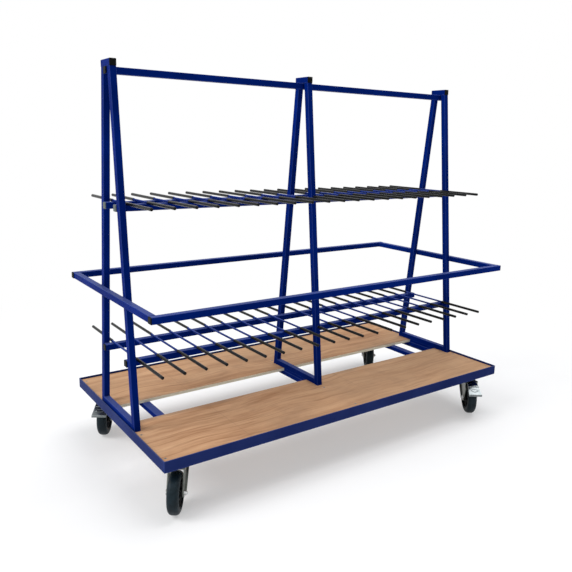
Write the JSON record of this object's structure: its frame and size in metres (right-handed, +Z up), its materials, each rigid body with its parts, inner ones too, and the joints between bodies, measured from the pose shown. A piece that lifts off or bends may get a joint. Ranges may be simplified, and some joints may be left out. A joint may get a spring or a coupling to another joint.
{
  "type": "profile storage trolley",
  "caption": "Blue steel trolley with plywood decks, A-frames, sleeved divider rods in an upper and a lower rack, a guard hoop and swivel casters with brakes, for storing profiles upright",
  "frame": {"origin": "on the floor under the middle of the whole outline, casters included", "axes": "+X along the trolley towards its right end, -Y towards its front, +Z up"},
  "size_m": [2.139, 1.145, 1.855],
  "materials": {
    "blue_coat": "ultramarine blue powder coat",
    "plywood": "raw sanded plywood",
    "sleeve_plastic": "black plastic sleeve",
    "cap_plastic": "black plastic cap",
    "zinc_steel": "zinc plated pressed steel",
    "bright_zinc": "bright zinc plated",
    "tyre_rubber": "black rubber",
    "hub_plastic": "dark moulded plastic",
    "bush_plastic": "plain bearing plastic"
  },
  "bodies": {
    "frame": {"base_front_angle": "blue_coat", "base_left_angle": "blue_coat", "base_rear_angle": "blue_coat", "base_right_angle": "blue_coat", "caster_beams": "blue_coat", "caster_bolts": "bright_zinc", "caster_pads": "blue_coat", "caster_plates": "zinc_steel", "deck_front": "plywood", "deck_rear": "plywood", "deck_screws": "bright_zinc", "foot_tubes": "blue_coat", "frame_packers": "blue_coat", "hoop_front_tube": "blue_coat", "hoop_left_tube": "blue_coat", "hoop_rear_tube": "blue_coat", "hoop_right_tube": "blue_coat", "kingpins": "zinc_steel", "left_front_leg": "blue_coat", "left_rear_leg": "blue_coat", "lower_front_rail": "blue_coat", "lower_rear_rail": "blue_coat", "lower_rods": "blue_coat", "lower_sleeves": "sleeve_plastic", "middle_beam": "blue_coat", "middle_front_leg": "blue_coat", "middle_rear_leg": "blue_coat", "right_front_leg": "blue_coat", "right_rear_leg": "blue_coat", "top_rail": "blue_coat", "top_tubes": "blue_coat", "tube_end_caps": "cap_plastic", "upper_front_rail": "blue_coat", "upper_rear_rail": "blue_coat", "upper_rods": "blue_coat", "upper_sleeves": "sleeve_plastic"},
    "front_left_swivel": {"front_left_fork": "zinc_steel", "front_left_axle": "bright_zinc"},
    "front_left_wheel": {"front_left_hub": "hub_plastic", "front_left_tyre": "tyre_rubber", "front_left_bushes": "bush_plastic"},
    "rear_left_swivel": {"rear_left_fork": "zinc_steel", "rear_left_axle": "bright_zinc", "rear_left_pedal_pin": "zinc_steel"},
    "rear_left_wheel": {"rear_left_hub": "hub_plastic", "rear_left_tyre": "tyre_rubber", "rear_left_bushes": "bush_plastic"},
    "rear_left_brake": {"rear_left_pedal": "zinc_steel"},
    "front_right_swivel": {"front_right_fork": "zinc_steel", "front_right_axle": "bright_zinc", "front_right_pedal_pin": "zinc_steel"},
    "front_right_wheel": {"front_right_hub": "hub_plastic", "front_right_tyre": "tyre_rubber", "front_right_bushes": "bush_plastic"},
    "front_right_brake": {"front_right_pedal": "zinc_steel"},
    "rear_right_swivel": {"rear_right_fork": "zinc_steel", "rear_right_axle": "bright_zinc"},
    "rear_right_wheel": {"rear_right_hub": "hub_plastic", "rear_right_tyre": "tyre_rubber", "rear_right_bushes": "bush_plastic"}
  },
  "joints": [
    {"name": "front_left_swivel_hinge", "type": "hinge", "parent": "frame", "child": "front_left_swivel", "pos_m": [-0.935, -0.40249, 0.19], "axis": [0, 0, 1], "continuous": true},
    {"name": "front_left_wheel_hinge", "type": "hinge", "parent": "front_left_swivel", "child": "front_left_wheel", "pos_m": [-0.96909, -0.44941, 0.09], "axis": [0.809, -0.5878, 0], "continuous": true},
    {"name": "rear_left_swivel_hinge", "type": "hinge", "parent": "frame", "child": "rear_left_swivel", "pos_m": [-0.935, 0.46751, 0.19], "axis": [0, 0, 1], "continuous": true},
    {"name": "rear_left_wheel_hinge", "type": "hinge", "parent": "rear_left_swivel", "child": "rear_left_wheel", "pos_m": [-0.96574, 0.41832, 0.09], "axis": [0.848, -0.5299, 0], "continuous": true},
    {"name": "rear_left_pedal_hinge", "type": "hinge", "parent": "rear_left_swivel", "child": "rear_left_brake", "pos_m": [-0.97315, 0.40645, 0.189], "axis": [0.848, -0.5299, 0], "range_deg": [0, 10]},
    {"name": "front_right_swivel_hinge", "type": "hinge", "parent": "frame", "child": "front_right_swivel", "pos_m": [0.935, -0.40249, 0.19], "axis": [0, 0, 1], "continuous": true},
    {"name": "front_right_wheel_hinge", "type": "hinge", "parent": "front_right_swivel", "child": "front_right_wheel", "pos_m": [0.90091, -0.44941, 0.09], "axis": [0.809, -0.5878, 0], "continuous": true},
    {"name": "front_right_pedal_hinge", "type": "hinge", "parent": "front_right_swivel", "child": "front_right_brake", "pos_m": [0.89268, -0.46074, 0.189], "axis": [0.809, -0.5878, 0], "range_deg": [0, 10]},
    {"name": "rear_right_swivel_hinge", "type": "hinge", "parent": "frame", "child": "rear_right_swivel", "pos_m": [0.935, 0.46751, 0.19], "axis": [0, 0, 1], "continuous": true},
    {"name": "rear_right_wheel_hinge", "type": "hinge", "parent": "rear_right_swivel", "child": "rear_right_wheel", "pos_m": [0.90257, 0.41943, 0.09], "axis": [0.829, -0.5592, 0], "continuous": true}
  ]
}
